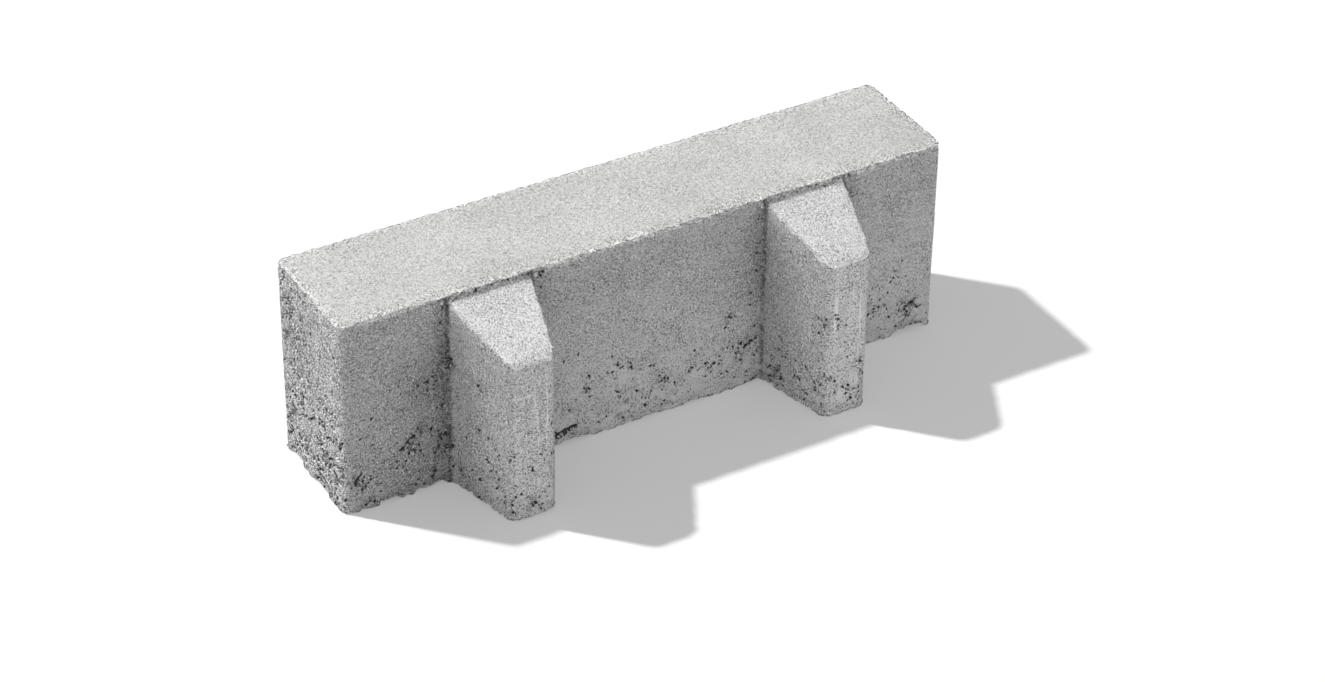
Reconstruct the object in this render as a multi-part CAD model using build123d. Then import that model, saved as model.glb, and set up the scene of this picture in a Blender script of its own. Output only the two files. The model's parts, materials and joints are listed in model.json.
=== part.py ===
"""Permeable concrete paver: a long narrow block with two tapered spacer lugs on one long side.

Frame, in millimetres: X runs along the block, the lugs point to -Y, and Z is up.
The origin is in the middle of the laying module, block and joint together, on the bedding face.
"""

import os

from build123d import *

# Block
LENGTH = 246.0  # end to end, along X
WIDTH = 50.0  # from the front face to the back face, without the lugs
HEIGHT = 80.0  # from the bedding face to the walking face
CORNER_RADIUS = 3.5  # the four upright corners of the block
ARRIS_RADIUS = 0.5  # the slightly rubbed edge round the walking face

# Spacer lugs, which hold the drainage joint open
LUG_COUNT = 2
LUG_PITCH = 128.0  # from one lug's middle to the next
LUG_REACH = 32.0  # how far a lug stands out of the front face: the width of the joint
LUG_ROOT_WIDTH = 33.5  # along X, where the lug leaves the front face
LUG_TIP_WIDTH = 18.0  # along X, across the flat tip before its corners are rounded
LUG_TIP_RADIUS = 5.0  # the two upright corners of the tip
LUG_ROOT_RADIUS = 1.2  # the inside corners between the lug and the front face
LUG_DROP_AT_ROOT = 2.5  # from the walking face down to the lug's sloping top
LUG_DROP_AT_TIP = 13.5  # the same, at the tip

# Places that follow from the sizes
BACK_Y = (WIDTH + LUG_REACH) / 2
FRONT_Y = BACK_Y - WIDTH
TIP_Y = FRONT_Y - LUG_REACH
LUG_CENTRES = [LUG_PITCH * (i - (LUG_COUNT - 1) / 2) for i in range(LUG_COUNT)]


def module_plan():
    """The outline in plan: the block's rectangle with a tapered lug at each lug centre."""
    body = Pos(0, (FRONT_Y + BACK_Y) / 2) * Rectangle(LENGTH, WIDTH)
    body = fillet(body.vertices(), CORNER_RADIUS)
    for centre in LUG_CENTRES:
        body += lug_plan(centre)
    roots = [v for v in body.vertices() if is_lug_root(v)]
    return fillet(roots, LUG_ROOT_RADIUS)


def lug_plan(centre):
    """One lug in plan: a trapezium with rounded tip corners, its wide end inside the block."""
    # The wide end goes on into the block on the line of the flanks, so that the two fuse.
    overlap = CORNER_RADIUS
    flank_lean = (LUG_ROOT_WIDTH - LUG_TIP_WIDTH) / 2 / LUG_REACH
    half_tip = LUG_TIP_WIDTH / 2
    half_base = LUG_ROOT_WIDTH / 2 + overlap * flank_lean
    lug = make_face(
        Polyline(
            (centre - half_tip, TIP_Y),
            (centre + half_tip, TIP_Y),
            (centre + half_base, FRONT_Y + overlap),
            (centre - half_base, FRONT_Y + overlap),
            close=True,
        )
    )
    tips = lug.vertices().group_by(Axis.Y)[0]
    return fillet(tips, LUG_TIP_RADIUS)


def is_lug_root(vertex):
    """True where a lug's flank meets the front face, at an inside corner of the plan."""
    on_front_face = abs(vertex.Y - FRONT_Y) < 1e-6
    at_block_corner = abs(vertex.X) > LENGTH / 2 - CORNER_RADIUS - 1e-6
    return on_front_face and not at_block_corner


def lug_slope_cutter():
    """What is taken off above the lugs, in front of the front face: a wedge as long as the block."""
    clear = LUG_TIP_RADIUS  # how far the cutter runs past what it cuts
    slope = (LUG_DROP_AT_TIP - LUG_DROP_AT_ROOT) / LUG_REACH
    profile = Plane.YZ * make_face(
        Polyline(
            (FRONT_Y, HEIGHT - LUG_DROP_AT_ROOT),
            (TIP_Y - clear, HEIGHT - LUG_DROP_AT_TIP - clear * slope),
            (TIP_Y - clear, HEIGHT + clear),
            (FRONT_Y, HEIGHT + clear),
            close=True,
        )
    )
    return extrude(profile, LENGTH / 2, both=True)


def paver():
    """The whole paver, pressed in one mould as one piece."""
    block = extrude(module_plan(), HEIGHT)
    block -= lug_slope_cutter()
    rim = block.faces().sort_by(Axis.Z)[-1].edges()
    return fillet(rim, ARRIS_RADIUS)


os.makedirs("parts", exist_ok=True)
block = paver()
block.label = "paver"
export_step(block, "parts/paver.step")
print("paver", block.bounding_box().size, "volume", round(block.volume), "mm3")
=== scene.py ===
"""A permeable concrete paver: the pressed block with its two spacer lugs, its finish and a plain studio.

Run as a script, it builds everything once round the fixed frame, and nothing has to be installed for that.
Blender's lengths are in metres. The patterns of the concrete are written in millimetres, because that is
how stones, sand and pores are measured.
"""

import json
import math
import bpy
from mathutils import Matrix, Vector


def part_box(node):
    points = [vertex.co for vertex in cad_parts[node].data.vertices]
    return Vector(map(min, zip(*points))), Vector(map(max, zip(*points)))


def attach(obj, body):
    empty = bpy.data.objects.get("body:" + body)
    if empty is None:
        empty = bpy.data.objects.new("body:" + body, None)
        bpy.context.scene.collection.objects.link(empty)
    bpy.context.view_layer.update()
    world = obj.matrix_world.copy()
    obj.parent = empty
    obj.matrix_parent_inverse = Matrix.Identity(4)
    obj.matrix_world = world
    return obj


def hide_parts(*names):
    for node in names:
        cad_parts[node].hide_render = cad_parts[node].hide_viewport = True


bl_info = {
    "name": "Permeable Concrete Paver",
    "version": (1, 0, 0),
    "blender": (4, 5, 0),
    "location": "3D View > Sidebar > Paver",
    "description": "A long narrow concrete paver with spacer lugs, its pressed finish and a plain studio",
    "category": "Add Mesh",
}

from typing import NamedTuple

import bmesh
import bpy
import numpy as np
from bpy.props import FloatProperty, FloatVectorProperty, PointerProperty
from mathutils import Matrix, Vector
from mathutils.kdtree import KDTree

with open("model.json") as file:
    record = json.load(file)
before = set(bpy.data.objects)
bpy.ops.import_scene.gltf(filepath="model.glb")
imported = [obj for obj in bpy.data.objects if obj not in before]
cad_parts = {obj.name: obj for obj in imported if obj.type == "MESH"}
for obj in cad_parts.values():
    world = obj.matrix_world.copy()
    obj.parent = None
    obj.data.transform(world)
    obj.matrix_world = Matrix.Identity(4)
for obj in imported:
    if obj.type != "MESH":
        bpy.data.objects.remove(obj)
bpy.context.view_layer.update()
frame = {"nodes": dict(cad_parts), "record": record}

NODE = "paver"
PIECE = "cast_paver"
MM = 0.001


# Places read from the frame


def mount_place(name):
    """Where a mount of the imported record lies, in millimetres."""
    for mount in frame["record"]["mounts"]:
        if mount["name"] == name:
            return Vector(mount["pos_m"]) / MM
    raise RuntimeError(f"the record has no mount named {name}")


LOW, HIGH = (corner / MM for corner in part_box(NODE))
FRONT_Y = 2 * mount_place("walking_face").y - HIGH.y
LUG_CENTRES = [mount_place(name).x for name in ("left_lug_tip", "right_lug_tip")]
LUG_ROOT_HALF = 16.75  # half a lug's width where it joins the block, in millimetres


# Sizes and colours that a user would change


class PaverConcrete(bpy.types.PropertyGroup):
    """How the concrete is pressed: its mesh, its wear and its colours."""

    mesh_spacing: FloatProperty(
        name="Mesh spacing",
        description="Distance between the points of the paver's mesh",
        default=0.00097,
        min=0.0008,
        max=0.004,
        precision=5,
        unit="LENGTH",
    )
    chip_depth: FloatProperty(
        name="Chip depth",
        description="How far the lower edge has crumbled away in its deepest bays",
        default=0.0018,
        min=0.0,
        max=0.008,
        precision=4,
        unit="LENGTH",
    )
    pore_depth: FloatProperty(
        name="Pore depth",
        description="How deep the open pores between the stones go",
        default=0.0018,
        min=0.0,
        max=0.005,
        precision=4,
        unit="LENGTH",
    )
    paste_colour: FloatVectorProperty(
        name="Cement",
        description="Colour of the cement and sand on the sides",
        default=(0.56, 0.56, 0.56),
        size=3,
        min=0.0,
        max=1.0,
        subtype="COLOR",
    )
    walking_colour: FloatVectorProperty(
        name="Walking face",
        description="Colour of the fine walking face",
        default=(0.632, 0.631, 0.624),
        size=3,
        min=0.0,
        max=1.0,
        subtype="COLOR",
    )
    slope_colour: FloatVectorProperty(
        name="Lug slopes",
        description="Colour of the open sandy grain on the lugs' sloping tops",
        default=(0.82, 0.82, 0.817),
        size=3,
        min=0.0,
        max=1.0,
        subtype="COLOR",
    )
    stone_colour: FloatVectorProperty(
        name="Stones",
        description="Colour of the smooth stones that show in the sides",
        default=(0.59, 0.59, 0.59),
        size=3,
        min=0.0,
        max=1.0,
        subtype="COLOR",
    )
    # The pores' colour is painted shade: the dark inside pores and pits, many finer than the mesh, and along
    # the inside corner beside each lug
    pore_shade_colour: FloatVectorProperty(
        name="Pores",
        description="Colour inside the pores, where dust and damp gather",
        default=(0.05, 0.05, 0.05),
        size=3,
        min=0.0,
        max=1.0,
        subtype="COLOR",
    )


class PaverStudio(bpy.types.PropertyGroup):
    """The floor and the camera's lens."""

    floor_colour: FloatVectorProperty(
        name="Floor",
        description="Colour of the studio floor",
        default=(0.55, 0.55, 0.55),
        size=3,
        min=0.0,
        max=1.0,
        subtype="COLOR",
    )
    lens: FloatProperty(
        name="Lens",
        description="Focal length of the camera, in millimetres on a 36 mm wide sensor",
        default=104.8,
        min=20.0,
        max=300.0,
    )


# The concrete's patterns


class Pattern(NamedTuple):
    """A cloudy or grainy pattern in the concrete."""

    size: float  # millimetres from one cloud or grain to the next
    shift: float = 0.0  # how far it is moved off the other patterns
    layers: float = 2.0  # how many finer layers lie on it
    rough: float = 0.5  # how strong those layers are
    upright: float = 1.0  # its scale upright: a small one draws it out, and 0 makes every height alike


SHIFT_WAY = (1.0, 1.7, -0.6)  # the way that one pattern is moved off another

# Patterns of the cast shape. The finish uses the pits and worms as well.
OPENING = Pattern(15.0, shift=31.0, layers=3.0)
STONES = Pattern(7.0)
SPLITS = Pattern(3.0, shift=7.0, layers=1.0)
PITS = Pattern(1.15, shift=13.0)
WORMS = Pattern(0.5, rough=0.6, upright=0.6)
BREAKS = Pattern(16.0, shift=3.0, layers=1.0, upright=0.0)
CRUMBS = Pattern(2.2, shift=19.0, layers=3.0, rough=0.6, upright=0.0)
SANDY_PATCHES = Pattern(10.0, shift=63.0)
WAVES = Pattern(20.0, shift=41.0)
GRAIN = Pattern(2.2, shift=5.0, layers=3.0, rough=0.7)
END_GRAIN = Pattern(2.8, shift=27.0, layers=3.0, rough=0.7)
WEAR = Pattern(1.9, shift=15.0, rough=0.7)

# Patterns of the finish alone
FINE_SAND = Pattern(0.28)
COARSE_SAND = Pattern(0.8, shift=3.0)
SOFT_SPOTS = Pattern(2.6, shift=9.0, layers=3.0, rough=0.6)
BROAD_CLOUDS = Pattern(22.0, shift=9.0)
DRAWN_LINES = Pattern(0.6, upright=0.12)
STREAKS = Pattern(1.7, layers=1.0, upright=0.03)
DOTS = Pattern(0.7, shift=77.0)


# Node building


class Fields:
    """Adds maths and noise to a node tree, of a material or of a geometry group alike."""

    def __init__(self, tree):
        self.tree = tree

    def node(self, kind, **settings):
        made = self.tree.nodes.new(kind)
        for name, value in settings.items():
            setattr(made, name, value)
        return made

    def put(self, socket, value):
        """A number is set on the socket, and another node's output is linked to it."""
        if isinstance(value, bpy.types.NodeSocket):
            self.tree.links.new(value, socket)
        else:
            socket.default_value = value

    def maths(self, operation, a, b=0.0, c=0.0, clamp=False):
        made = self.node("ShaderNodeMath", operation=operation, use_clamp=clamp)
        for socket, value in zip(made.inputs, (a, b, c)):
            self.put(socket, value)
        return made.outputs[0]

    def add(self, total, *others):
        for other in others:
            total = self.maths("ADD", total, other)
        return total

    def less(self, a, b):
        return self.maths("SUBTRACT", a, b)

    def times(self, product, *others):
        for other in others:
            product = self.maths("MULTIPLY", product, other)
        return product

    def most(self, largest, *others):
        for other in others:
            largest = self.maths("MAXIMUM", largest, other)
        return largest

    def least(self, a, b):
        return self.maths("MINIMUM", a, b)

    def absolute(self, a):
        return self.maths("ABSOLUTE", a)

    def held(self, a):
        """The value held between 0 and 1."""
        return self.maths("ADD", a, 0.0, clamp=True)

    def inverse(self, a):
        return self.maths("SUBTRACT", 1.0, a, clamp=True)

    def length(self, a, b):
        """The length of the hypotenuse over the sides a and b."""
        return self.maths("SQRT", self.maths("MULTIPLY_ADD", a, a, self.times(b, b)))

    def step(self, value, start, end):
        """Rises smoothly from 0 at start to 1 at end; end may lie below start."""
        made = self.node("ShaderNodeMapRange", interpolation_type="SMOOTHSTEP")
        self.put(made.inputs["Value"], value)
        low, high = (start, end) if start < end else (end, start)
        made.inputs["From Min"].default_value = low
        made.inputs["From Max"].default_value = high
        rising = made.outputs["Result"]
        return rising if start < end else self.inverse(rising)

    def span(self, value, start, end):
        """A straight ramp from start at 0 to end at 1, where the value is between 0 and 1."""
        made = self.node("ShaderNodeMapRange", clamp=True)
        self.put(made.inputs["Value"], value)
        made.inputs["To Min"].default_value = start
        made.inputs["To Max"].default_value = end
        return made.outputs["Result"]

    def blend(self, share, a, b):
        """From number a to number b."""
        made = self.node("ShaderNodeMix", data_type="FLOAT")
        for socket, value in zip(made.inputs[:1] + made.inputs[2:4], (share, a, b)):
            self.put(socket, value)
        return made.outputs[0]

    def tint(self, share, a, b):
        """From colour a to colour b."""
        made = self.node("ShaderNodeMix", data_type="RGBA")
        for socket, value in zip(made.inputs[:1] + made.inputs[6:8], (share, a, b)):
            self.put(socket, value)
        return made.outputs[2]

    def vector(self, operation, a, b):
        made = self.node("ShaderNodeVectorMath", operation=operation)
        self.put(made.inputs[0], a)
        self.put(made.inputs[1], b)
        return made.outputs["Value" if operation == "DISTANCE" else "Vector"]

    def scaled(self, vector, amount):
        made = self.node("ShaderNodeVectorMath", operation="SCALE")
        self.put(made.inputs[0], vector)
        self.put(made.inputs["Scale"], amount)
        return made.outputs[0]

    def parts(self, place):
        """The x, y and z of a place."""
        made = self.node("ShaderNodeSeparateXYZ")
        self.put(made.inputs[0], place)
        return made.outputs[:3]

    def upright(self, place, scale):
        """The place with its height scaled, so that a pattern on it is drawn out upright."""
        return self.vector("MULTIPLY", place, (1.0, 1.0, scale))

    def laid(self, place, pattern):
        """The place as a pattern takes it: drawn out, and moved off the other patterns."""
        if pattern.upright != 1.0:
            place = self.upright(place, pattern.upright)
        if pattern.shift:
            place = self.vector("ADD", place, [pattern.shift * part for part in SHIFT_WAY])
        return place

    def noise(self, place, pattern):
        """Cloudy noise from 0 to 1."""
        made = self.node("ShaderNodeTexNoise")
        self.put(made.inputs["Vector"], self.laid(place, pattern))
        made.inputs["Scale"].default_value = 1.0 / pattern.size
        made.inputs["Detail"].default_value = pattern.layers
        made.inputs["Roughness"].default_value = pattern.rough
        return made.outputs["Fac"]

    def warp(self, place, size, amount):
        """The place pushed about by noise: how far apart the pushes are and how strong, in millimetres."""
        made = self.node("ShaderNodeTexNoise")
        self.put(made.inputs["Vector"], place)
        made.inputs["Scale"].default_value = 1.0 / size
        made.inputs["Detail"].default_value = 1.0
        push = self.vector("SUBTRACT", made.outputs["Color"], (0.5, 0.5, 0.5))
        push = self.vector("MULTIPLY", push, (2 * amount, 2 * amount, 2 * amount))
        return self.vector("ADD", place, push)

    def cells(self, place, pattern, feature="F1"):
        """Cells like grains or stones: the distance in them, and a random number for each."""
        made = self.node("ShaderNodeTexVoronoi", feature=feature)
        self.put(made.inputs["Vector"], self.laid(place, pattern))
        made.inputs["Scale"].default_value = 1.0 / pattern.size
        if feature != "F1":
            return made.outputs["Distance"], None
        return made.outputs["Distance"], self.parts(made.outputs["Color"])[0]


# Torn and open places

# Places where the face is torn open, in millimetres: x, y, z, how far it reaches, and how open it is.
OPEN_PATCHES = (
    (-97.0, -9.0, 22.0, 9.0, 0.7),
    (-92.0, -9.0, 27.0, 6.0, 0.6),
    (-115.0, -9.0, 13.0, 9.0, 0.75),
    (-100.0, -9.0, 53.0, 6.0, 0.45),
    (-90.0, -9.0, 44.0, 8.0, 0.55),
    (-86.0, -9.0, 7.0, 7.0, 0.7),
    (-81.0, -9.0, 52.0, 5.0, 0.9),
    (-83.0, -9.0, 19.0, 8.0, 0.7),
    (-36.0, -9.0, 5.0, 8.0, 0.9),
    (-26.6, -9.0, 20.5, 4.0, 0.85),
    (-32.0, -9.0, 38.0, 6.0, 0.5),
    (6.5, -9.0, 13.5, 7.0, 0.75),
    (33.0, -9.0, 31.0, 6.0, 0.65),
    (42.0, -9.0, 18.0, 7.0, 0.85),
    (111.0, -9.0, 11.0, 9.0, 0.85),
    (100.0, -9.0, 14.0, 6.0, 0.6),
    (57.0, -38.0, 40.0, 10.0, 0.6),
    (64.0, -41.0, 8.0, 5.0, 0.8),
    (-60.0, -41.0, 3.0, 5.0, 0.8),
    (-77.0, -26.0, 49.0, 6.0, 0.45),
)

# Deep tears in the front face, in millimetres: from x, z to x, z, and how wide.
TEARS = (
    (-38.5, 4.3, -30.7, 6.2, 0.75),
    (-98.4, 20.6, -96.6, 24.0, 0.5),
    (-117.4, 12.0, -115.6, 16.0, 0.5),
    (41.0, 17.0, 44.0, 18.2, 0.55),
    (109.8, 9.6, 113.2, 12.6, 0.6),
)

# Bays broken out of the foot, in millimetres: x, y, how far each reaches, and its share of the full depth.
FOOT_BAYS = (
    (-105.0, -9.0, 4.0, 0.75),
    (-89.0, -9.0, 7.0, 0.7),
    (-123.0, 10.0, 7.0, 0.8),
    (-123.0, 30.0, 6.0, 0.9),
    (-56.0, -41.0, 4.0, 0.4),
    (-30.0, -9.0, 7.0, 0.7),
    (112.0, -9.0, 8.0, 1.0),
)

# Bands, in millimetres from where something starts to where it is full. X, Y or Z is the way they run, and
# the others are distances off the inside corner beside a lug.
LOOSE_Z = (60.0, 5.0)
REAR_OF_END_Y = (10.0, 34.0)
SEAM_BAND = (1.4, 0.3)
ROOT_FRONT_BAND = (7.5, 0.5)
ROOT_FLANK_BAND = (9.0, 1.5)
HOLLOW_SHADE_BAND = (26.0, 2.0)
BLOCK_MIDDLE_X = (-2.0, 2.0)
LUG_MIDDLE_WIDTH = 2.0  # the width over which a lug's sheltered left half starts

# How open the concrete is, from 0 to 1. Where there are two, the first fades to the second.
LOW_OPEN = 0.28
CLOUD_OPEN = (0.12, 0.42)  # high up, low down
# Beside a lug's root the concrete is more open: real pores in the relief, and through the darker tone of open
# concrete part of the painted shade in that corner
ROOT_OPEN = 0.5
STRIP_OPEN = 0.5
END_OPEN = (0.45, 0.8)  # high up, low down
REAR_SHARE = 0.5  # the rear of an end is this far towards the second, at any height

# How far the foot breaks away, as shares of the chip depth
FOOT_SHARE = 0.05  # everywhere round it
BAY_SHARE = 0.85
BREAK_SHARE = 0.25
CRUMB_SHARE = 0.34


class Zones:
    """The paver's named faces, each a number from 0 to 1, and the millimetres to its rim and its foot."""

    NAMES = ("walking", "slope", "bed", "front", "end", "tip", "strip", "corner", "rim", "foot")

    def __init__(self, read):
        for name in self.NAMES:
            setattr(self, name, read(name))


class LugRoots(NamedTuple):
    """The inside corners beside the lugs, each a number from 0 to 1."""

    seam: bpy.types.NodeSocket  # the corner itself, drawn with a painted line of shade
    front: bpy.types.NodeSocket  # the front face near it
    flank: bpy.types.NodeSocket  # the lug's flank near it
    hollow_shade: bpy.types.NodeSocket  # painted shade in the hollow round it, on the left of each lug


def root_fields(f, place, zones):
    """The places round the inside corners, by how far off they are."""
    x, y, _ = f.parts(place)
    left, right = (f.absolute(f.less(x, centre)) for centre in LUG_CENTRES)
    off = f.length(f.less(f.least(left, right), LUG_ROOT_HALF), f.less(y, FRONT_Y))
    side = f.inverse(f.most(zones.walking, zones.slope))
    flank = f.times(f.inverse(zones.front), side)
    left, right = (f.step(x, centre, centre - LUG_MIDDLE_WIDTH) for centre in LUG_CENTRES)
    sheltered = f.most(left, f.times(right, f.step(x, *BLOCK_MIDDLE_X)))
    return LugRoots(
        seam=f.times(f.step(off, *SEAM_BAND), side),
        front=f.times(f.step(off, *ROOT_FRONT_BAND), zones.front),
        flank=f.times(f.step(off, *ROOT_FLANK_BAND), flank),
        hollow_shade=f.times(f.step(off, *HOLLOW_SHADE_BAND), side, sheltered),
    )


def open_share(f, place, zones):
    """How open the concrete is: close under the walking face, torn in patches, loose near the bed."""
    _, y, z = f.parts(place)
    low = f.step(z, *LOOSE_Z)
    cloud = f.step(f.noise(place, OPENING), 0.45, 0.75)
    share = f.add(f.times(low, LOW_OPEN), f.times(cloud, f.span(low, *CLOUD_OPEN)))
    for *centre, reach, amount in OPEN_PATCHES:
        away = f.vector("DISTANCE", place, centre)
        share = f.most(share, f.times(f.step(away, reach, 0.2 * reach), amount))
    root = f.times(root_fields(f, place, zones).front, ROOT_OPEN)
    strip = f.times(zones.strip, STRIP_OPEN)
    rear = f.times(f.step(y, *REAR_OF_END_Y), REAR_SHARE)
    end = f.times(zones.end, f.span(f.most(low, rear), *END_OPEN))
    plain = f.times(f.inverse(zones.walking), f.inverse(zones.slope))
    return f.times(f.held(f.most(share, root, strip, end)), plain)


def tear_field(f, place, zones):
    """The deep tears in the front face."""
    x, _, z = f.parts(f.warp(place, size=1.5, amount=0.7))
    torn = 0.0
    for start_x, start_z, end_x, end_z, width in TEARS:
        along = f.least(f.most(x, start_x), end_x)
        rise = (end_z - start_z) / (end_x - start_x)
        level = f.maths("MULTIPLY_ADD", f.less(along, start_x), rise, start_z)
        away = f.length(f.less(x, along), f.less(z, level))
        torn = f.most(torn, f.step(away, 1.5 * width, 0.6 * width))
    return f.times(torn, zones.front)


def stone_fields(f, place):
    """The stones: 1 inside a stone, 1 in the gap between stones, 1 beside that gap, and each one's number."""
    bent = f.warp(place, size=6.0, amount=1.6)
    edge, _ = f.cells(bent, STONES, "DISTANCE_TO_EDGE")
    _, number = f.cells(bent, STONES)
    return f.step(edge, 0.08, 0.2), f.step(edge, 0.07, 0.02), f.step(edge, 0.2, 0.05), number


def crevice_field(f, place, share, gap):
    """The open crevices that run along some of the stones."""
    torn = f.step(f.noise(place, SPLITS), 0.48, 0.58)
    return f.times(gap, torn, f.step(share, 0.4, 0.7))


def pore_fields(f, place, zones, share, porous):
    """The pores: pits in clusters, and the worm-eaten look of the ends."""
    bent = f.warp(place, size=1.2, amount=0.45)
    near, number = f.cells(bent, PITS)
    pit = f.times(f.step(near, 0.6, 0.34), f.step(f.less(porous, number), 0.0, 0.02))
    worm = f.times(zones.end, f.step(share, 0.1, 0.8), f.step(f.noise(place, WORMS), 0.43, 0.36))
    return pit, worm


def chip_field(f, place):
    """How deep the foot has broken away at each place round it, as a share of the chip depth."""
    broad = f.times(f.step(f.noise(place, BREAKS), 0.5, 0.66), BREAK_SHARE)
    flat = f.upright(place, 0.0)
    for x, y, reach, amount in FOOT_BAYS:
        away = f.vector("DISTANCE", flat, (x, y, 0.0))
        broad = f.most(broad, f.times(f.step(away, reach, 0.7 * reach), amount))
    small = f.noise(place, CRUMBS)
    bays = f.times(f.add(f.times(broad, BAY_SHARE), FOOT_SHARE), f.step(small, 0.1, 0.5))
    crumbs = f.times(f.step(small, 0.42, 0.64), CRUMB_SHARE)
    return f.add(bays, crumbs)


# The even mesh and its zones

MESH_DEPTH = 8  # halvings of the box that the even mesh is laid out in
OUTER_TURN = math.radians(45.0)  # an outer edge turns at least this much
LEVEL = 0.999  # a face whose normal has at least this much upward in it is level

# Lengths in millimetres
EDGE_STEP = 0.5  # from one point to the next along an edge
CLOSE = 0.01  # heights no further apart than this are one height
LUG_START = 0.6  # a point this far out of the front face is on a lug
TOP_DEPTH = 2.0  # the walking face and its arris are no deeper than this
END_DEPTH = 4.5  # an end and its rounded corners are no deeper than this
TIP_DEPTH = 4.0  # a lug's tip and its rounded corners are no deeper than this
FRONT_FADE = (2.5, 0.5)  # off the front face's plane
STRIP_FADE = (6.0, 3.0)  # under the walking face, where the strip over a lug starts
STRIP_SIDE = 1.0  # the strip's ends fade this far to each side


def smooth(value, start, end):
    share = np.clip((value - start) / (end - start), 0.0, 1.0)
    return share * share * (3 - 2 * share)


def nearest(points, places):
    """The distance from each point to the nearest of the places."""
    tree = KDTree(len(places))
    for number, place in enumerate(places):
        tree.insert(place, number)
    tree.balance()
    return np.array([tree.find(point)[2] for point in points])


def edge_distances(source, points):
    """How far each point is from the outer edges of the top and slopes, and from the foot, in millimetres."""
    shape = bmesh.new()
    shape.from_mesh(source.data)
    bmesh.ops.remove_doubles(shape, verts=shape.verts, dist=MM * MM)
    rim, foot = [], []
    for edge in shape.edges:
        start, end = (vert.co / MM for vert in edge.verts)
        level = sum(face.normal.z > LEVEL for face in edge.link_faces)
        turns = edge.calc_face_angle_signed(0.0) > OUTER_TURN
        count = math.ceil((end - start).length / EDGE_STEP) + 1
        along = [start.lerp(end, share) for share in np.linspace(0.0, 1.0, count)]
        if turns and max(start.z, end.z) < LOW.z + CLOSE:
            foot += along
        elif turns or (level == 1 and min(start.z, end.z) > HIGH.z - CLOSE):
            rim += along
    shape.free()
    return [nearest(points, places) for places in (rim, foot)]


def zone_values(points, normals):
    """A number from 0 to 1 for each zone at each point, from places in millimetres and normals."""
    x, y, z = points.T
    up = normals[:, 2]
    on_lug = y < FRONT_Y - LUG_START
    on_end = abs(x) > HIGH.x - END_DEPTH
    off_lug_middle = np.min([abs(x - centre) for centre in LUG_CENTRES], axis=0)
    near_front = smooth(abs(y - FRONT_Y), *FRONT_FADE)
    over_lug = smooth(off_lug_middle, LUG_ROOT_HALF + STRIP_SIDE, LUG_ROOT_HALF - STRIP_SIDE)
    over_lug = over_lug * smooth(z, *(HIGH.z - depth for depth in STRIP_FADE))
    bend = 1 - abs(normals[:, :2]).max(axis=1)
    return {
        "walking": smooth(up, 0.5, 0.9) * (z > HIGH.z - TOP_DEPTH),
        "slope": smooth(up, 0.45, 0.8) * on_lug,
        "bed": smooth(-up, 0.5, 0.9),
        "front": smooth(-normals[:, 1], 0.6, 0.9) * near_front,
        "end": smooth(abs(normals[:, 0]), 0.55, 0.95) * on_end,
        "tip": smooth(-normals[:, 1], 0.6, 0.98) * (y < LOW.y + TIP_DEPTH),
        "strip": near_front * over_lug * (1 - smooth(up, 0.4, 0.8)),
        "corner": smooth(bend, 0.04, 0.2) * (abs(up) < 0.4) * on_end,
    }


def evaluated_mesh(piece):
    graph = bpy.context.evaluated_depsgraph_get()
    return bpy.data.meshes.new_from_object(
        piece.evaluated_get(graph), preserve_all_data_layers=True, depsgraph=graph
    )


def remeshed(source, spacing):
    """An even mesh over the CAD node's shape."""
    copy = bpy.data.objects.new("even_copy", source.data.copy())
    bpy.context.scene.collection.objects.link(copy)
    remesh = copy.modifiers.new("Even mesh", "REMESH")
    remesh.mode = "SHARP"
    remesh.octree_depth = MESH_DEPTH
    remesh.scale = max(copy.dimensions) / (spacing * 2**MESH_DEPTH)
    remesh.use_remove_disconnected = False
    mesh = evaluated_mesh(copy)
    bpy.data.objects.remove(copy)
    return mesh


def store(mesh, name, values, kind="FLOAT", key="value"):
    attribute = mesh.attributes.new(name, kind, "POINT")
    attribute.data.foreach_set(key, np.ascontiguousarray(values, np.float32).ravel())


def mesh_arrays(mesh):
    points = np.empty(len(mesh.vertices) * 3, np.float32)
    mesh.vertices.foreach_get("co", points)
    normals = np.empty(len(mesh.vertices) * 3, np.float32)
    mesh.vertices.foreach_get("normal", normals)
    return points.reshape(-1, 3), normals.reshape(-1, 3)


# The relief

# Bands, in millimetres from where something starts to where it is full
NICK_REACH = (2.6, 0.2)  # off an outer edge of the top or slopes
FOOT_REACH = (4.5, 0.0)  # off the foot
OUTER_LUG_Y = (-16.0, -28.0)
SANDY_LOW_Z = (45.0, 5.0)

# Depths, in millimetres. Where there are two, the first is where the concrete is closed and the second
# where it is open or worn.
SIDE_WAVE = 0.45
FINE_WAVE = 0.1
PASTE_HOLLOW = (0.0, 0.3)
SIDE_GRAIN = (0.08, 0.6)
SLOPE_GRAIN = 0.2
END_GRAIN_DEPTH = (0.12, 0.35)
NICK_DEPTH = (0.35, 1.1)
BED_SPARED = 0.6  # the bed is pressed in this much less

# Shares of those depths, and of the pore depth, that some places have
END_GRAIN_SHARE = 0.6
STRIP_NICKS = 0.3
PIT_SHARE = 0.5
WORM_SHARE = 0.25

# How sandy a place looks, added up
OUTER_SANDY = 0.35
LOW_SANDY = 0.35
PATCH_SANDY = 0.6
STRIP_SANDY = 0.4

# A broken foot is set back and raised by these shares of its depth.
FOOT_SET_BACK = 0.45
FOOT_RAISE = 0.8


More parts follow.
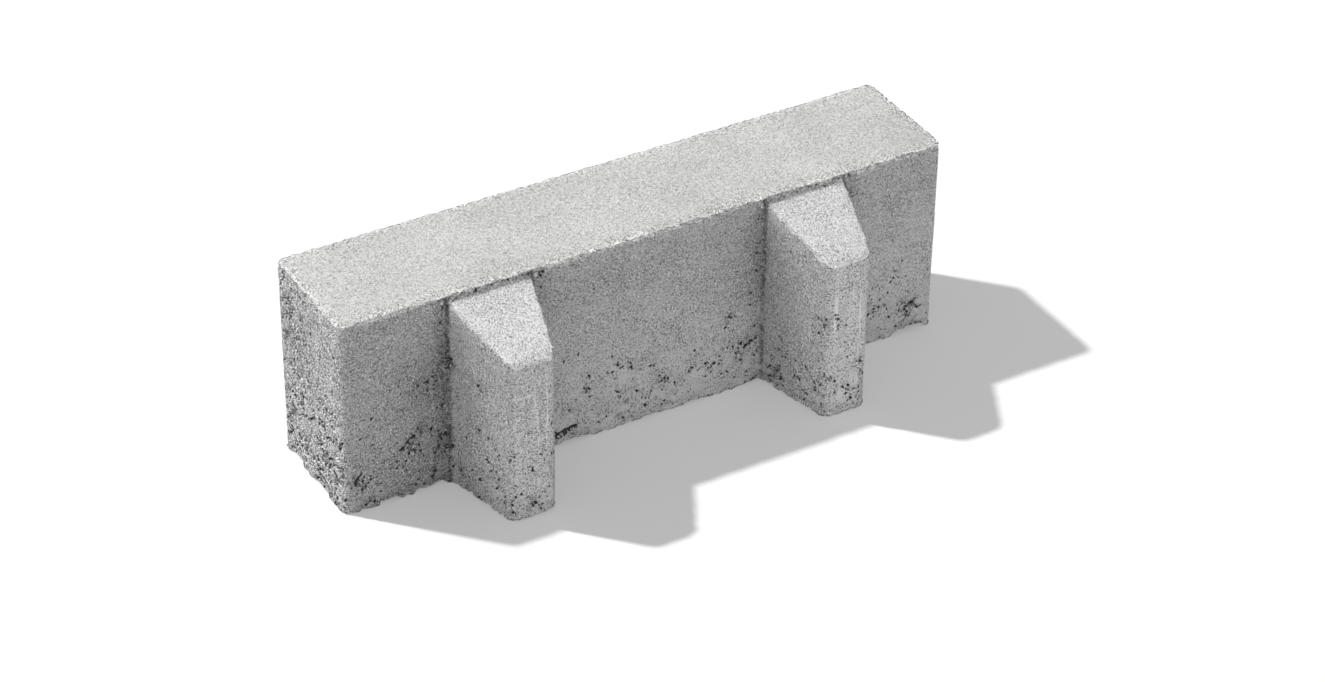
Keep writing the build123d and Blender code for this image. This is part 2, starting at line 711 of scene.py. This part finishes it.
def sandy_field(f, place, zones, share):
    """How sandy the concrete looks: in patches, on the outer half of the lugs, low down and at corners."""
    _, y, z = f.parts(place)
    patch = f.step(f.noise(place, SANDY_PATCHES), 0.45, 0.62)
    outer, low = f.step(y, *OUTER_LUG_Y), f.step(z, *SANDY_LOW_Z)
    sandy = f.add(f.times(outer, OUTER_SANDY), f.times(low, LOW_SANDY), f.times(patch, PATCH_SANDY))
    return f.add(zones.corner, f.times(zones.strip, STRIP_SANDY), f.most(sandy, share))


def cast_fields(f, place, zones):
    """What the mould leaves at each place. The mesh keeps these by name, and the finish reads them."""
    share = open_share(f, place, zones)
    inside, gap, beside, number = stone_fields(f, place)
    crowded = f.maths("POWER", share, 1.9)
    return {
        "open": share,
        "bare": f.times(inside, f.step(share, 0.15, 0.4), f.step(number, 0.4, 0.6)),
        "crevice": crevice_field(f, place, share, gap),
        "porous": f.times(crowded, f.span(beside, 0.25, 0.9), f.span(zones.end, 1.0, 0.72)),
        "sandy": sandy_field(f, place, zones, share),
    }


def relief_depth(f, place, zones, cast, pore_depth):
    """How deep the relief is pressed in, in millimetres."""
    share = cast["open"]
    fine = f.most(zones.walking, zones.slope)
    wave = f.times(f.noise(place, WAVES), f.blend(fine, SIDE_WAVE, FINE_WAVE))
    paste = f.times(f.inverse(cast["bare"]), f.span(share, *PASTE_HOLLOW))
    grain_depth = f.blend(zones.slope, f.span(share, *SIDE_GRAIN), SLOPE_GRAIN)
    grain = f.times(f.noise(place, GRAIN), grain_depth, f.span(zones.end, 1.0, END_GRAIN_SHARE))
    end_grain = f.times(zones.end, f.span(share, *END_GRAIN_DEPTH), f.noise(place, END_GRAIN))
    worn = f.span(f.step(f.noise(place, WEAR), 0.35, 0.7), *NICK_DEPTH)
    nick = f.times(f.step(zones.rim, *NICK_REACH), worn, f.blend(zones.strip, 1.0, STRIP_NICKS))
    pit, worm = pore_fields(f, place, zones, share, cast["porous"])
    tear = tear_field(f, place, zones)
    hole = f.most(cast["crevice"], tear, f.times(pit, PIT_SHARE), f.times(worm, WORM_SHARE))
    depth = f.add(wave, f.add(paste, grain), f.add(end_grain, nick), f.times(hole, pore_depth))
    return f.most(f.less(depth, f.times(zones.bed, BED_SPARED)), 0.0)


def relief_group(concrete):
    """A geometry group that presses stones, pores, pits and broken edges into the even mesh."""
    tree = bpy.data.node_groups.new("Paver relief", "GeometryNodeTree")
    for way in ("INPUT", "OUTPUT"):
        tree.interface.new_socket(name="Geometry", in_out=way, socket_type="NodeSocketGeometry")
    f = Fields(tree)

    def read(name):
        made = f.node("GeometryNodeInputNamedAttribute", data_type="FLOAT")
        made.inputs["Name"].default_value = name
        return made.outputs["Attribute"]

    zones = Zones(read)
    position = f.node("GeometryNodeInputPosition").outputs[0]
    place = f.vector("MULTIPLY", position, (1 / MM, 1 / MM, 1 / MM))
    cast = cast_fields(f, place, zones)
    depth = relief_depth(f, place, zones, cast, concrete.pore_depth / MM)
    broken = f.times(chip_field(f, place), f.step(zones.foot, *FOOT_REACH), concrete.chip_depth / MM)

    normal = f.node("GeometryNodeInputNormal").outputs[0]
    inward = f.vector("MULTIPLY", normal, (-MM, -MM, -MM))
    pressed = f.scaled(inward, f.add(depth, f.times(broken, FOOT_SET_BACK)))
    raised = f.node("ShaderNodeCombineXYZ")
    f.put(raised.inputs["Z"], f.times(broken, FOOT_RAISE * MM))
    press = f.node("GeometryNodeSetPosition")
    f.put(press.inputs["Geometry"], f.node("NodeGroupInput").outputs[0])
    f.put(press.inputs["Offset"], f.vector("ADD", pressed, raised.outputs[0]))
    shape = press.outputs[0]
    for name, value in cast.items():
        keep = f.node("GeometryNodeStoreNamedAttribute", data_type="FLOAT", domain="POINT")
        f.put(keep.inputs["Geometry"], shape)
        keep.inputs["Name"].default_value = name
        f.put(keep.inputs["Value"], value)
        shape = keep.outputs[0]
    f.put(f.node("NodeGroupOutput").inputs[0], shape)
    return tree


def hold_in_box(mesh):
    """Keeps every point within the CAD box."""
    points, _ = mesh_arrays(mesh)
    points = np.clip(points, np.array(LOW) * MM, np.array(HIGH) * MM)
    mesh.vertices.foreach_set("co", points.astype(np.float32).ravel())
    mesh.update()


def cast_paver(concrete):
    """The block and its lugs as one even mesh with its relief pressed in."""
    source = frame["nodes"][NODE]
    mesh = remeshed(source, concrete.mesh_spacing)
    points, normals = mesh_arrays(mesh)
    points = points / MM
    store(mesh, "cast_place", points, "FLOAT_VECTOR", "vector")
    values = zone_values(points, normals)
    values["rim"], values["foot"] = edge_distances(source, points)
    for name, numbers in values.items():
        store(mesh, name, numbers)
    piece = bpy.data.objects.new(PIECE, mesh)
    bpy.context.scene.collection.objects.link(piece)
    relief = piece.modifiers.new("Relief", "NODES")
    relief.node_group = relief_group(concrete)
    pressed = evaluated_mesh(piece)
    piece.modifiers.clear()
    piece.data = pressed
    hold_in_box(pressed)
    pressed.shade_smooth()
    return piece


# The finish

# Bands, in millimetres from where a tone starts to where it is full. X, Y or Z is the way they run.
TOP_Z = (78.0, 79.0)
LOW_Z = (70.0, 0.0)
FOOT_Z = (19.0, 3.0)
UPPER_Z = (85.0, 55.0)
BED_Z = (0.0, 25.0)
RIM_BAND = (7.0, 1.0)  # off an outer edge of the top or slopes
FRONT_RIGHT_X = (-85.0, -45.0)
SECOND_LUG_X = (0.0, 20.0)
SECOND_LUG_Y = (-10.0, -14.0)
OUTER_FLANK_Y = (-18.0, -34.0)
WAIST_TOP_Z = (74.0, 56.0)
WAIST_FOOT_Z = (30.0, 46.0)
END_FRONT_Y = (6.0, -4.0)
END_REAR_Y = (4.0, 28.0)
END_TOP_Z = (58.0, 70.0)
TIP_TOP_Z = (50.0, 62.0)
RIGHT_HALF_X = (0.0, 1.0)
STREAK_FOOT_Z = (22.0, 42.0)
STREAK_TOP_Z = (64.0, 50.0)
SEAM_TOP_Z = (60.0, 77.0)

# A scuff across the left lug's tip, in millimetres
SCUFF_HEIGHT = 53.0
SCUFF_X = -69.3
SCUFF_LENGTH = (5.5, 3.5)
SCUFF_WIDTH = (0.8, 0.2)

# Tones: how much lighter than plain cement a place is, as a share of it. Less than 0 is darker. Where
# there are two, the first fades to the second.
# The flank's and the front's low tones are painted light that lifts the shade near the floor
FLANK_LOW_LIGHT = 0.2
FRONT_LOW_LIGHT = (0.02, 0.66)  # left of the left lug, right of it
FRONT_TONE = (-0.03, 0.1)  # left of the left lug, right of it
# Painted light at the foot of the front face
FRONT_FOOT_LIGHT = 0.1
SECOND_LUG_TONE = (0.12, -0.02)  # its sides, its slope
OUTER_FLANK_TONE = (0.02, 0.1)  # high, low
OPEN_TONE = -0.12
# Painted shade and light at the inside corners beside the lugs
ROOT_FRONT_SHADE = -0.16
ROOT_FLANK_LIGHT = (0.18, 0.04)  # near the top and the bed, at middle height
HOLLOW_SHADE = (-0.13, -0.28)  # on a flank, on the front face
CORNER_TONE = 0.16
END_LOW_TONE = (0.16, 0.52)  # high, low
END_WAIST_TONE = -0.12
END_FOOT_TONE = 0.25
END_TOP_REAR_TONE = 0.12
TIP_TONE = 0.27
# Painted light at the foot of a tip
TIP_FOOT_LIGHT = 0.28
SECOND_TIP_TOP_TONE = 0.06
STREAK_TONE = 0.75
SCUFF_TONE = 0.5
RAGGED_SLOPE_TONE = 0.08
RAGGED_TOP_TONE = (0.4, 0.14)  # beside the walking face, on it
DARKEST_TONE = 0.08  # every place keeps at least this share of its colour

# Tones of the patterns: the difference between their darkest and their lightest places
SAND_TONE = 0.8
COARSE_SAND_TONE = (0.09, 0.02)  # on the sides, on the walking face
SOFT_TONE = (0.09, 0.2)  # closed, open
FINE_SOFT_TONE = 0.05
CLOUD_TONE = (0.3, 0.28)  # on the sides, on the fine faces
DRAWN_TONE = 0.4

# A few grains of the fine sand are darker or brighter than the rest by these tones.
DARK_GRAIN_TONE = -0.45
BRIGHT_GRAIN_TONE = 0.3

# How strongly the sand shows
SIDE_SAND = (1.1, 2.1)  # closed, sandy
END_SAND = 3.9
SLOPE_SAND = 1.0
WALKING_SAND = (0.85, 1.9)  # fine, rubbed
RUBBED_EDGE = 0.45
BARE_SAND = 0.35  # the share of it on bare stones

# How strongly the dark of the pores shows, which is painted shade in them
WORM_DARK = 0.65
# Painted shade along the inside corner beside a lug: full near the top, patchy below
SEAM_TOP_SHADE = 0.75
SEAM_SHADE = (0.15, 0.7)  # painted shade, faint where the soft spots are low, strong where they are high
DOT_DARK = (0.8, 0.5)  # on the sides, on the fine faces

# The share of the small dark dots that show: a product of factors, and a share by itself on the fine faces
OPEN_DOTS = (0.05, 0.4)  # closed, open
SANDY_DOTS = (0.4, 1.2)  # plain, sandy
END_DOTS = 2.6
FINE_DOTS = 0.02

# How high the grains stand, in millimetres
SIDE_SAND_HEIGHT = (0.1, 0.35)  # plain, sandy
WALKING_SAND_HEIGHT = 0.08
SLOPE_SAND_HEIGHT = 0.25
COARSE_SAND_HEIGHT = (0.02, 0.18)  # plain, sandy
FINE_FACE_COARSE_HEIGHT = 0.05
SOFT_HEIGHT = (0.1, 0.4)  # closed, open
BARE_SHARE = 0.3  # of those heights, on bare stones
HOLE_DEPTH = 0.6  # how far the holes go down

ROUGHNESS = 0.92
SHINE = 0.25


class Skin:
    """What the finish is made from: the faces, the places, and the patterns that colour and bump share."""

    def __init__(self, f):
        def read(name, output="Fac"):
            return f.node("ShaderNodeAttribute", attribute_name=name).outputs[output]

        zones = Zones(read)
        place = read("cast_place", "Vector")
        self.zones, self.place = zones, place
        self.x, self.y, self.z = f.parts(place)
        self.open, self.bare, self.sandy = read("open"), read("bare"), read("sandy")
        pit, worm = pore_fields(f, place, zones, self.open, read("porous"))
        tear = tear_field(f, place, zones)
        # The holes are drawn in the pores' colour, which is painted shade in them
        self.holes = f.most(read("crevice"), tear, pit, f.times(worm, WORM_DARK))
        self.roots = root_fields(f, place, zones)

        _, self.fine_sand = f.cells(place, FINE_SAND)
        _, self.coarse_sand = f.cells(place, COARSE_SAND)
        self.soft = f.noise(place, SOFT_SPOTS)
        self.fine = f.most(zones.walking, zones.slope)
        self.plain = f.inverse(f.most(self.fine, zones.end))
        self.ragged = f.step(f.less(zones.rim, f.span(self.soft, 0.0, 3.0)), 0.4, -0.3)
        self.top = f.step(self.z, *TOP_Z)
        self.low = f.step(self.z, *LOW_Z)
        self.foot = f.step(self.z, *FOOT_Z)


def rgb(colour):
    return (*colour, 1.0)


def face_colour(f, skin, concrete):
    """The colour of each face before its tones. The ragged arris takes the colour of the face above it."""
    walking = f.most(skin.zones.walking, f.times(skin.ragged, skin.top))
    slope = f.most(skin.zones.slope, f.times(skin.ragged, f.inverse(skin.top)))
    colour = f.tint(walking, rgb(concrete.paste_colour), rgb(concrete.walking_colour))
    colour = f.tint(slope, colour, rgb(concrete.slope_colour))
    return f.tint(skin.bare, colour, rgb(concrete.stone_colour))


def sand_tones(f, skin):
    """The grains of sand, strongest at the ends, with the clouds and the drawn lines of the cement."""
    zones = skin.zones
    rubbed = f.most(skin.ragged, f.times(f.step(zones.rim, *RIM_BAND), RUBBED_EDGE))
    side = f.blend(zones.end, f.span(f.most(skin.sandy, skin.ragged), *SIDE_SAND), END_SAND)
    amount = f.blend(zones.walking, f.blend(zones.slope, side, SLOPE_SAND), f.span(rubbed, *WALKING_SAND))
    amount = f.times(amount, f.blend(skin.bare, 1.0, BARE_SAND))
    dark_grains = f.times(f.step(skin.fine_sand, 0.14, 0.08), DARK_GRAIN_TONE)
    bright_grains = f.times(f.step(skin.fine_sand, 0.95, 0.97), BRIGHT_GRAIN_TONE)
    coarse = f.times(f.less(skin.coarse_sand, 0.5), f.blend(zones.walking, *COARSE_SAND_TONE))
    sand = f.add(f.times(f.less(skin.fine_sand, 0.5), SAND_TONE), f.add(dark_grains, bright_grains), coarse)
    soft_tone = f.blend(skin.fine, f.span(skin.open, *SOFT_TONE), FINE_SOFT_TONE)
    cloud = f.noise(skin.place, BROAD_CLOUDS)
    drawn = f.noise(skin.place, DRAWN_LINES)
    return (
        f.times(sand, amount),
        f.times(f.less(skin.soft, 0.5), soft_tone),
        f.times(f.less(cloud, 0.5), f.blend(skin.fine, *CLOUD_TONE)),
        f.times(f.less(drawn, 0.5), skin.plain, DRAWN_TONE),
    )


def side_tones(f, skin):
    """The front face and the lugs' flanks, paler low down and at the foot by painted light that lifts the
    shade near the floor, and the ragged arris over them.
    """
    zones = skin.zones
    right = f.step(skin.x, *FRONT_RIGHT_X)
    second = f.times(f.step(skin.x, *SECOND_LUG_X), f.step(skin.y, *SECOND_LUG_Y))
    outer = f.step(skin.y, *OUTER_FLANK_Y)
    ragged_top = f.blend(skin.top, RAGGED_SLOPE_TONE, f.blend(zones.walking, *RAGGED_TOP_TONE))
    return (
        # painted light low down, against the shade near the floor
        f.times(skin.plain, skin.low, f.blend(zones.front, FLANK_LOW_LIGHT, f.span(right, *FRONT_LOW_LIGHT))),
        f.times(zones.front, f.span(right, *FRONT_TONE)),
        # painted light at the foot
        f.times(zones.front, skin.foot, FRONT_FOOT_LIGHT),
        f.times(second, f.blend(zones.slope, *SECOND_LUG_TONE)),
        f.times(skin.plain, outer, f.span(skin.low, *OUTER_FLANK_TONE)),
        f.times(skin.open, f.inverse(zones.end), OPEN_TONE),
        f.times(skin.ragged, ragged_top),
    )


def root_light_and_shade(f, skin):
    """Painted shade on the front face near the lugs and in the hollows on their left, darkest at middle
    height, and painted light on the flanks beside the corners.
    """
    roots = skin.roots
    off_bed = f.span(f.step(skin.z, *BED_Z), 0.3, 1.0)
    middle = f.times(f.step(skin.z, *UPPER_Z), off_bed)
    return (
        f.times(roots.front, ROOT_FRONT_SHADE),
        f.times(roots.hollow_shade, middle, f.blend(skin.zones.front, *HOLLOW_SHADE)),
        f.times(roots.flank, f.blend(middle, *ROOT_FLANK_LIGHT)),
    )


def end_tones(f, skin):
    """The ends and their rounded corners: pale at the foot, darker round the waist."""
    end = skin.zones.end
    waist = f.times(f.step(skin.z, *WAIST_TOP_Z), f.step(skin.z, *WAIST_FOOT_Z))
    foot = f.times(skin.foot, f.step(skin.y, *END_FRONT_Y))
    top_rear = f.times(f.step(skin.z, *END_TOP_Z), f.step(skin.y, *END_REAR_Y))
    return (
        f.times(skin.zones.corner, CORNER_TONE),
        f.times(end, f.span(skin.low, *END_LOW_TONE)),
        f.times(end, waist, END_WAIST_TONE),
        f.times(end, foot, END_FOOT_TONE),
        f.times(end, top_rear, END_TOP_REAR_TONE),
    )


def tip_tones(f, skin):
    """The lugs' tips: pale, paler at the foot by painted light, with the mould's upright streaks and one
    scuff.
    """
    tip = skin.zones.tip
    second_top = f.times(f.step(skin.z, *TIP_TOP_Z), f.step(skin.x, *RIGHT_HALF_X))
    streaks = f.step(f.noise(skin.place, STREAKS), 0.56, 0.68)
    streaks = f.times(streaks, f.step(skin.z, *STREAK_FOOT_Z), f.step(skin.z, *STREAK_TOP_Z))
    off_level = f.absolute(f.less(f.add(skin.z, skin.soft), SCUFF_HEIGHT))
    off_middle = f.absolute(f.less(skin.x, SCUFF_X))
    scuff = f.times(f.step(off_level, *SCUFF_WIDTH), f.step(off_middle, *SCUFF_LENGTH))
    return (
        f.times(tip, TIP_TONE),
        # painted light at the foot
        f.times(tip, skin.foot, TIP_FOOT_LIGHT),
        f.times(tip, second_top, SECOND_TIP_TOP_TONE),
        f.times(tip, streaks, f.span(skin.soft, 0.5, 1.5), STREAK_TONE),
        f.times(tip, scuff, SCUFF_TONE),
    )


def pore_and_corner_shade(f, skin):
    """Where painted shade darkens the colour: in the holes and pores, along the inside corner beside a lug,
    and in dots between the grains.
    """
    seam_top_shade = f.times(f.step(skin.z, *SEAM_TOP_Z), SEAM_TOP_SHADE)
    seam = f.times(skin.roots.seam, f.most(seam_top_shade, f.span(f.step(skin.soft, 0.4, 0.6), *SEAM_SHADE)))
    near, number = f.cells(skin.place, DOTS)
    sandy, end = f.span(skin.sandy, *SANDY_DOTS), f.span(skin.zones.end, 1.0, END_DOTS)
    few = f.blend(skin.fine, f.times(f.span(skin.open, *OPEN_DOTS), sandy, end), FINE_DOTS)
    dot = f.times(f.step(near, 0.5, 0.3), f.step(f.less(few, number), 0.0, 0.01))
    return f.most(skin.holes, seam, f.times(dot, f.blend(skin.fine, *DOT_DARK)))


def bump_height(f, skin):
    """How high the grains stand, in millimetres."""
    zones = skin.zones
    side = f.span(skin.sandy, *SIDE_SAND_HEIGHT)
    fine_height = f.blend(zones.slope, f.blend(zones.walking, side, WALKING_SAND_HEIGHT), SLOPE_SAND_HEIGHT)
    coarse_height = f.blend(skin.fine, f.span(skin.sandy, *COARSE_SAND_HEIGHT), FINE_FACE_COARSE_HEIGHT)
    height = f.add(
        f.times(skin.fine_sand, fine_height),
        f.times(skin.coarse_sand, coarse_height),
        f.times(skin.soft, f.span(skin.open, *SOFT_HEIGHT)),
    )
    height = f.times(height, f.blend(skin.bare, 1.0, BARE_SHARE))
    return f.less(height, f.times(skin.holes, HOLE_DEPTH))


def concrete_material(concrete):
    """Pressed concrete: fine on top, drawn and porous on the sides, open and pitted at the ends."""
    material = bpy.data.materials.new("Pressed concrete")
    material.use_nodes = True
    tree = material.node_tree
    tree.nodes.clear()
    f = Fields(tree)
    skin = Skin(f)
    tones = []
    for kind in (sand_tones, side_tones, root_light_and_shade, end_tones, tip_tones):
        tones += kind(f, skin)
    tone = f.most(f.add(*tones, 1.0), DARKEST_TONE)
    shaded = f.scaled(face_colour(f, skin, concrete), tone)

    shader = f.node("ShaderNodeBsdfPrincipled")
    f.put(shader.inputs["Base Color"], f.tint(pore_and_corner_shade(f, skin), shaded, rgb(concrete.pore_shade_colour)))
    shader.inputs["Roughness"].default_value = ROUGHNESS
    shader.inputs["Specular IOR Level"].default_value = SHINE
    bump = f.node("ShaderNodeBump")
    bump.inputs["Strength"].default_value = 1.0
    bump.inputs["Distance"].default_value = MM
    f.put(bump.inputs["Height"], bump_height(f, skin))
    f.put(shader.inputs["Normal"], bump.outputs[0])
    out = f.node("ShaderNodeOutputMaterial")
    f.put(out.inputs["Surface"], shader.outputs[0])
    return material


# The studio, in metres

CAMERA_TARGET = Vector((0.0075, -0.0051, 0.0288))
CAMERA_DISTANCE = 1.392
CAMERA_AZIMUTH = math.radians(-30.31)
CAMERA_ELEVATION = math.radians(35.07)
CAMERA_ROLL = math.radians(0.75)
SENSOR_WIDTH = 36.0  # millimetres
FLOOR_HALF = 8.0
FLOOR_DROP = 0.05 * MM  # the floor lies this far under the paver
FLOOR_GLOW = 0.28
WORLD_STRENGTH = 0.4
SUN_AZIMUTH = math.radians(-136.0)
SUN_ELEVATION = math.radians(52.0)
SUN_ANGLE = math.radians(2.0)  # how wide the sun looks, which softens its shadow
SUN_STRENGTH = 3.9
SOFTBOX_SIZE = 1.6
SOFTBOX_DISTANCE = 2.0

# Each softbox's name, its azimuth and elevation in degrees, and its power in watts.
SOFTBOXES = (
    ("Overhead softbox", 0.0, 89.0, 9.0),
    ("Back softbox", -136.0, 52.0, 29.0),
)


def direction(azimuth, elevation):
    """The direction out to something seen at that azimuth from the front and that elevation."""
    level = math.cos(elevation)
    return Vector((math.sin(azimuth) * level, -math.cos(azimuth) * level, math.sin(elevation)))


def facing(back, roll=0.0):
    """The turn of a camera or a lamp that looks the other way along back, with a roll about it."""
    right = Vector((0, 0, 1)).cross(back).normalized()
    up = back.cross(right)
    leant = math.cos(roll) * right + math.sin(roll) * up
    return Matrix((leant, back.cross(leant), back)).transposed().to_4x4()


def add_camera(lens):
    camera = bpy.data.objects.new("Camera", bpy.data.cameras.new("Camera"))
    camera.data.sensor_width = SENSOR_WIDTH
    camera.data.lens = lens
    back = direction(CAMERA_AZIMUTH, CAMERA_ELEVATION)
    place = Matrix.Translation(CAMERA_TARGET + CAMERA_DISTANCE * back)
    camera.matrix_world = place @ facing(back, CAMERA_ROLL)
    bpy.context.scene.collection.objects.link(camera)
    bpy.context.scene.camera = camera


def lit_only(lamp, name, pieces):
    """The lamp shines on these pieces and on nothing else, and everything still casts its shadow."""
    group = bpy.data.collections.new(name)
    for piece in pieces:
        group.objects.link(piece)
    lamp.light_linking.receiver_collection = group


def add_softbox(name, azimuth, elevation, power):
    """A square softbox aimed at the middle of the paver, from that side and height in degrees."""
    lamp = bpy.data.lights.new(name, "AREA")
    lamp.shape = "SQUARE"
    lamp.size = SOFTBOX_SIZE
    lamp.energy = power
    softbox = bpy.data.objects.new(name, lamp)
    back = direction(math.radians(azimuth), math.radians(elevation))
    middle = (LOW + HIGH) / 2 * MM
    softbox.matrix_world = Matrix.Translation(middle + SOFTBOX_DISTANCE * back) @ facing(back)
    bpy.context.scene.collection.objects.link(softbox)
    return softbox


def add_sun():
    """The sun that draws the paver's shadow on the floor."""
    lamp = bpy.data.lights.new("Sun", "SUN")
    lamp.energy = SUN_STRENGTH
    lamp.angle = SUN_ANGLE
    sun = bpy.data.objects.new("Sun", lamp)
    sun.matrix_world = facing(direction(SUN_AZIMUTH, SUN_ELEVATION))
    bpy.context.scene.collection.objects.link(sun)
    return sun


def camera_sees(f):
    """1 for a ray from the camera, straight or by a mirror or a glass, and 0 for light on its way round."""
    path = f.node("ShaderNodeLightPath")
    rays = ("Is Camera Ray", "Is Glossy Ray", "Is Transmission Ray")
    return f.most(*(path.outputs[ray] for ray in rays))


def add_floor(colour):
    """A plain pale floor that glows a little to the camera alone, and so shows white outside the shadow."""
    mesh = bpy.data.meshes.new("Floor")
    sides = ((-1, -1), (1, -1), (1, 1), (-1, 1))
    corners = [(x * FLOOR_HALF, y * FLOOR_HALF, -FLOOR_DROP) for x, y in sides]
    mesh.from_pydata(corners, [], [range(len(corners))])
    floor = bpy.data.objects.new("Floor", mesh)
    bpy.context.scene.collection.objects.link(floor)
    material = bpy.data.materials.new("Floor")
    material.use_nodes = True
    tree = material.node_tree
    shader = tree.nodes["Principled BSDF"]
    shader.inputs["Base Color"].default_value = rgb(colour)
    shader.inputs["Roughness"].default_value = 1.0
    shader.inputs["Specular IOR Level"].default_value = 0.0
    shader.inputs["Emission Color"].default_value = (1.0, 1.0, 1.0, 1.0)
    f = Fields(tree)
    f.put(shader.inputs["Emission Strength"], f.times(camera_sees(f), FLOOR_GLOW))
    mesh.materials.append(material)
    return floor


def light_world():
    """An even pale surround, which shows white behind the floor."""
    world = bpy.data.worlds.new("Studio")
    world.use_nodes = True
    world.node_tree.nodes.clear()
    f = Fields(world.node_tree)
    glow = f.node("ShaderNodeBackground")
    f.put(glow.inputs["Strength"], f.blend(camera_sees(f), WORLD_STRENGTH, 1.0))
    glow.inputs["Color"].default_value = (1.0, 1.0, 1.0, 1.0)
    out = f.node("ShaderNodeOutputWorld")
    f.put(out.inputs[0], glow.outputs[0])
    bpy.context.scene.world = world


# Operators and panel


class PAVER_OT_cast(bpy.types.Operator):
    """Cast the paver: the block and its lugs, with their relief and finish"""

    bl_idname = "paver.cast"
    bl_label = "Cast Paver"

    def execute(self, context):
        concrete = context.scene.paver_concrete
        piece = cast_paver(concrete)
        piece.data.materials.clear()
        piece.data.materials.append(concrete_material(concrete))
        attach(piece, "root")
        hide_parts(NODE)
        return {"FINISHED"}


class PAVER_OT_studio(bpy.types.Operator):
    """Set up the floor, the light and the camera"""

    bl_idname = "paver.studio"
    bl_label = "Set Up Studio"

    def execute(self, context):
        studio = context.scene.paver_studio
        context.scene.view_settings.view_transform = "Standard"
        paver = bpy.data.objects[PIECE]
        floor = add_floor(studio.floor_colour)
        add_camera(studio.lens)
        light_world()
        lit_only(add_sun(), "Sunlit", [floor])
        for name, azimuth, elevation, power in SOFTBOXES:
            lit_only(add_softbox(name, azimuth, elevation, power), name, [paver])
        return {"FINISHED"}


class PAVER_PT_sidebar(bpy.types.Panel):
    """Lists what can be built and the sizes and colours that can be changed"""

    bl_idname = "PAVER_PT_sidebar"
    bl_label = "Concrete Paver"
    bl_space_type = "VIEW_3D"
    bl_region_type = "UI"
    bl_category = "Paver"

    def draw(self, context):
        groups = (
            (context.scene.paver_concrete, PAVER_OT_cast),
            (context.scene.paver_studio, PAVER_OT_studio),
        )
        for settings, operator in groups:
            box = self.layout.box()
            for name in type(settings).__annotations__:
                box.prop(settings, name)
            box.operator(operator.bl_idname)


CLASSES = (PaverConcrete, PaverStudio, PAVER_OT_cast, PAVER_OT_studio, PAVER_PT_sidebar)


def register():
    for item in CLASSES:
        bpy.utils.register_class(item)
    bpy.types.Scene.paver_concrete = PointerProperty(type=PaverConcrete)
    bpy.types.Scene.paver_studio = PointerProperty(type=PaverStudio)


def unregister():
    del bpy.types.Scene.paver_studio
    del bpy.types.Scene.paver_concrete
    for item in reversed(CLASSES):
        bpy.utils.unregister_class(item)


def main():
    register()
    bpy.ops.paver.cast()
    bpy.ops.paver.studio()


if __name__ == "__main__":
    main()
